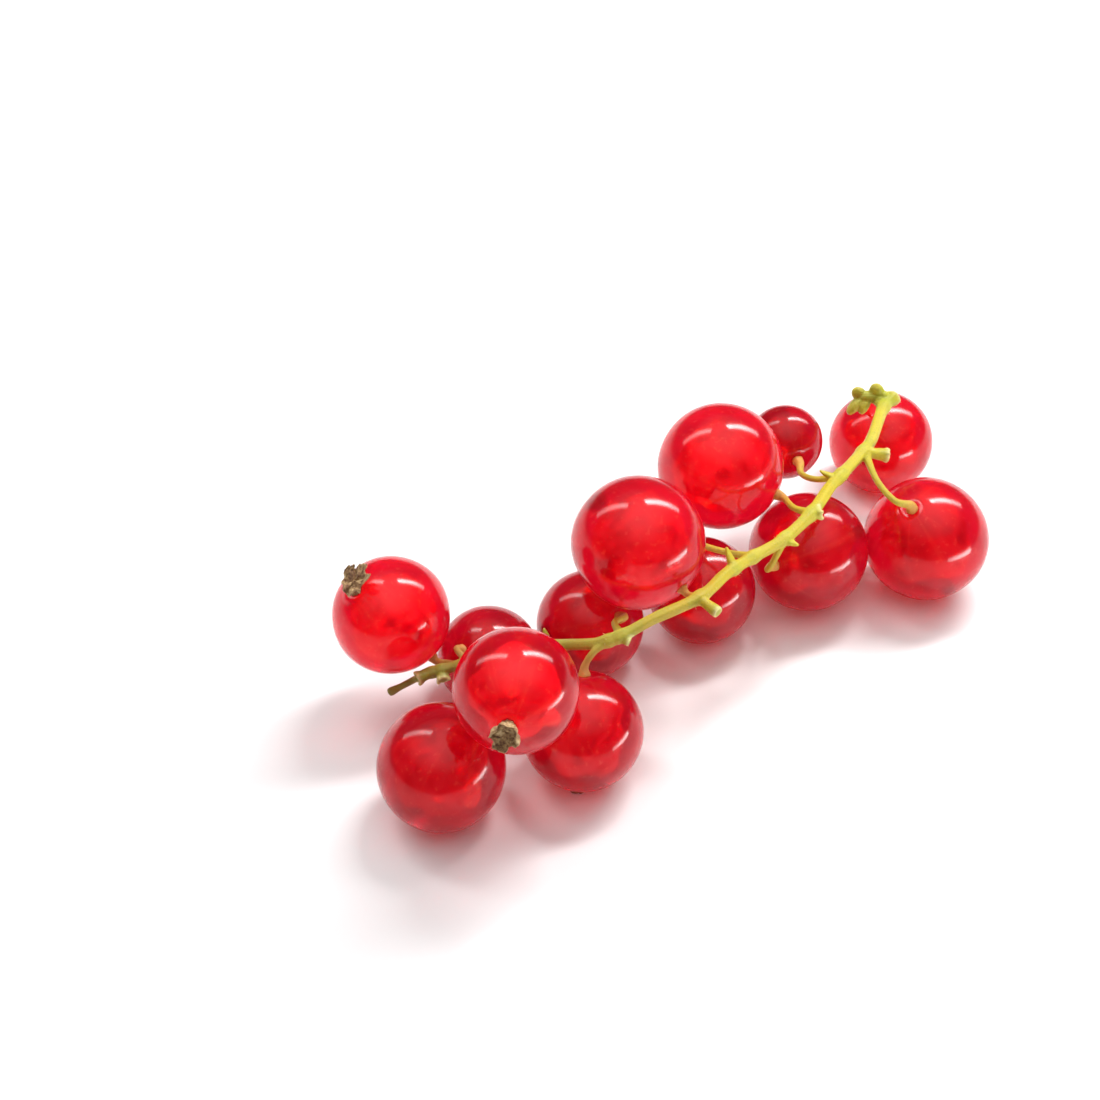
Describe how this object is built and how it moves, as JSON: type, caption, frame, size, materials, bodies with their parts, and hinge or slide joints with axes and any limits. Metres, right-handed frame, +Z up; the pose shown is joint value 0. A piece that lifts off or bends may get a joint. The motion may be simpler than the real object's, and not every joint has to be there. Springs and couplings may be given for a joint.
{
  "type": "redcurrant sprig",
  "caption": "Sprig of redcurrants: glossy round red berries with dried brown flower tufts, on short stalks along one thin green stem lying on its side.",
  "frame": {"origin": "middle of the sprig's length and width, on the surface that it lies on", "axes": "+X along the stem towards its cut end, +Y across it, +Z up from the surface"},
  "size_m": [0.0622, 0.027, 0.018],
  "materials": {
    "stem": "satin yellow-green plant stem",
    "berry": "glossy translucent red skin",
    "calyx": "matt dried brown"
  },
  "bodies": {
    "root": {"strig_stem": "stem", "berry_01": "berry", "berry_02": "berry", "berry_03": "berry", "berry_04": "berry", "berry_05": "berry", "berry_06": "berry", "berry_07": "berry", "berry_08": "berry", "berry_09": "berry", "berry_10": "berry", "berry_11": "berry", "berry_12": "berry", "berry_13": "berry", "calyx_01": "calyx", "calyx_02": "calyx", "calyx_03": "calyx", "calyx_04": "calyx", "calyx_05": "calyx", "calyx_06": "calyx", "calyx_07": "calyx", "calyx_08": "calyx", "calyx_09": "calyx", "calyx_10": "calyx", "calyx_11": "calyx", "calyx_12": "calyx", "calyx_13": "calyx"}
  },
  "joints": []
}
